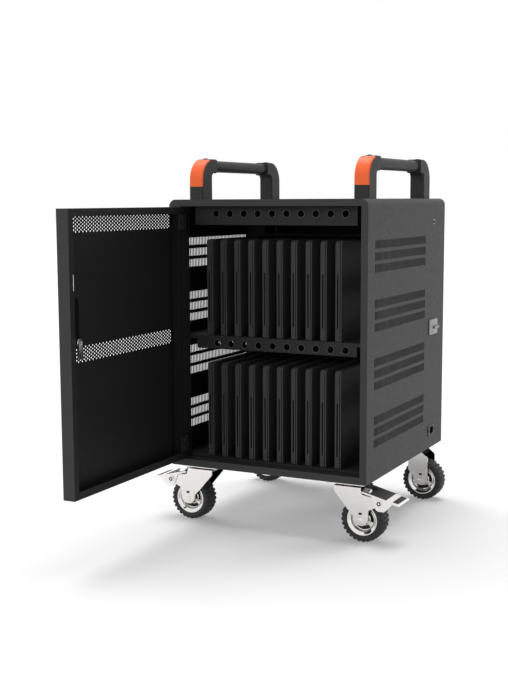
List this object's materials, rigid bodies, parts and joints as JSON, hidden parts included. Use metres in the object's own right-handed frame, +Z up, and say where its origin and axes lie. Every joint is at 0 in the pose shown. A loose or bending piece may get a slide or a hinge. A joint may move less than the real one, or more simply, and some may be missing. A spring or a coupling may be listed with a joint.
{
  "type": "charging cabinet",
  "caption": "Steel charging cabinet on swivel casters with two D handles, an open front door, perforated sides, shelves of upright dividers, cable ports and a rear charger compartment.",
  "frame": {"origin": "on the floor under the middle of the whole part, with the front door open at rest", "axes": "+X to the cabinet's right as seen from the front, +Y to the back, +Z up"},
  "size_m": [0.612, 0.9538, 0.8405],
  "materials": {
    "steel_grey": "fine textured powder coat",
    "steel_dark": "fine textured powder coat",
    "divider_plastic": "moulded",
    "handle_plastic": "moulded",
    "inlay_orange": "moulded",
    "zinc": "bright zinc",
    "lock_black": "moulded",
    "lock_silver": "satin",
    "tyre_rubber": "moulded",
    "socket_black": "moulded"
  },
  "bodies": {
    "cabinet": {"back_frame": "steel_grey", "base_plate": "steel_grey", "caster_plates": "zinc", "door_hinge_brackets": "steel_dark", "door_hinge_pins": "zinc", "front_frame": "steel_grey", "inner_partition": "steel_dark", "left_handle_bar": "handle_plastic", "left_handle_front_post": "handle_plastic", "left_handle_inlay": "inlay_orange", "left_handle_rear_post": "handle_plastic", "left_side_panel": "steel_grey", "lower_dividers": "divider_plastic", "lower_port_panel": "steel_dark", "lower_shelf": "steel_dark", "lower_socket_strip": "socket_black", "power_inlet": "socket_black", "rear_hinge_brackets": "steel_dark", "rear_hinge_pins": "zinc", "right_handle_bar": "handle_plastic", "right_handle_front_post": "handle_plastic", "right_handle_inlay": "inlay_orange", "right_handle_rear_post": "handle_plastic", "right_side_panel": "steel_grey", "side_lock_housing": "lock_silver", "top_cover": "steel_grey", "upper_dividers": "divider_plastic", "upper_port_panel": "steel_dark", "upper_shelf": "steel_dark", "upper_socket_strip": "socket_black"},
    "front_door": {"front_door_panel": "steel_grey", "door_vent_upper": "steel_grey", "door_vent_lower": "steel_grey", "door_hinge_arms": "steel_dark", "door_lock_housing": "lock_black"},
    "door_lock": {"door_lock_cam": "lock_silver"},
    "rear_door": {"rear_door_panel": "steel_grey", "rear_hinge_arms": "steel_dark", "rear_door_catch": "steel_dark"},
    "side_lock": {"side_lock_knob": "lock_silver", "side_lock_cam": "lock_silver"},
    "front_left_caster": {"front_left_fork": "zinc", "front_left_axle": "zinc"},
    "front_left_wheel": {"front_left_rim": "zinc", "front_left_tyre": "tyre_rubber"},
    "front_left_pedal": {"front_left_brake_pedal": "zinc"},
    "front_right_caster": {"front_right_fork": "zinc", "front_right_axle": "zinc"},
    "front_right_wheel": {"front_right_rim": "zinc", "front_right_tyre": "tyre_rubber"},
    "front_right_pedal": {"front_right_brake_pedal": "zinc"},
    "rear_left_caster": {"rear_left_fork": "zinc", "rear_left_axle": "zinc"},
    "rear_left_wheel": {"rear_left_rim": "zinc", "rear_left_tyre": "tyre_rubber"},
    "rear_right_caster": {"rear_right_fork": "zinc", "rear_right_axle": "zinc"},
    "rear_right_wheel": {"rear_right_rim": "zinc", "rear_right_tyre": "tyre_rubber"}
  },
  "joints": [
    {"name": "door_swing", "type": "hinge", "parent": "cabinet", "child": "front_door", "pos_m": [-0.2215, -0.03235, 0.4425], "axis": [0, 0, 1], "range_deg": [-5, 90]},
    {"name": "door_lock_turn", "type": "hinge", "parent": "front_door", "child": "door_lock", "pos_m": [-0.215, -0.45285, 0.47], "axis": [-1, 0, 0], "range_deg": [0, 90]},
    {"name": "rear_door_swing", "type": "hinge", "parent": "cabinet", "child": "rear_door", "pos_m": [-0.2215, 0.46605, 0.4425], "axis": [0, 0, 1], "range_deg": [0, 95]},
    {"name": "side_lock_turn", "type": "hinge", "parent": "cabinet", "child": "side_lock", "pos_m": [0.23, 0.40885, 0.435], "axis": [1, 0, 0], "range_deg": [0, 90]},
    {"name": "front_left_swivel", "type": "hinge", "parent": "cabinet", "child": "front_left_caster", "pos_m": [-0.181, 0.01485, 0.126], "axis": [0, 0, 1], "continuous": true},
    {"name": "front_left_roll", "type": "hinge", "parent": "front_left_caster", "child": "front_left_wheel", "pos_m": [-0.216, 0.01485, 0.05], "axis": [0, 1, 0], "continuous": true},
    {"name": "front_left_brake", "type": "hinge", "parent": "front_left_caster", "child": "front_left_pedal", "pos_m": [-0.26, 0.01485, 0.0946], "axis": [0, -1, 0], "range_deg": [0, 10]},
    {"name": "front_right_swivel", "type": "hinge", "parent": "cabinet", "child": "front_right_caster", "pos_m": [0.181, 0.01485, 0.126], "axis": [0, 0, 1], "continuous": true},
    {"name": "front_right_roll", "type": "hinge", "parent": "front_right_caster", "child": "front_right_wheel", "pos_m": [0.216, 0.01485, 0.05], "axis": [0, 1, 0], "continuous": true},
    {"name": "front_right_brake", "type": "hinge", "parent": "front_right_caster", "child": "front_right_pedal", "pos_m": [0.26, 0.01485, 0.0946], "axis": [0, 1, 0], "range_deg": [0, 10]},
    {"name": "rear_left_swivel", "type": "hinge", "parent": "cabinet", "child": "rear_left_caster", "pos_m": [-0.181, 0.41885, 0.126], "axis": [0, 0, 1], "continuous": true},
    {"name": "rear_left_roll", "type": "hinge", "parent": "rear_left_caster", "child": "rear_left_wheel", "pos_m": [-0.216, 0.41885, 0.05], "axis": [0, 1, 0], "continuous": true},
    {"name": "rear_right_swivel", "type": "hinge", "parent": "cabinet", "child": "rear_right_caster", "pos_m": [0.181, 0.41885, 0.126], "axis": [0, 0, 1], "continuous": true},
    {"name": "rear_right_roll", "type": "hinge", "parent": "rear_right_caster", "child": "rear_right_wheel", "pos_m": [0.216, 0.41885, 0.05], "axis": [0, 1, 0], "continuous": true}
  ]
}
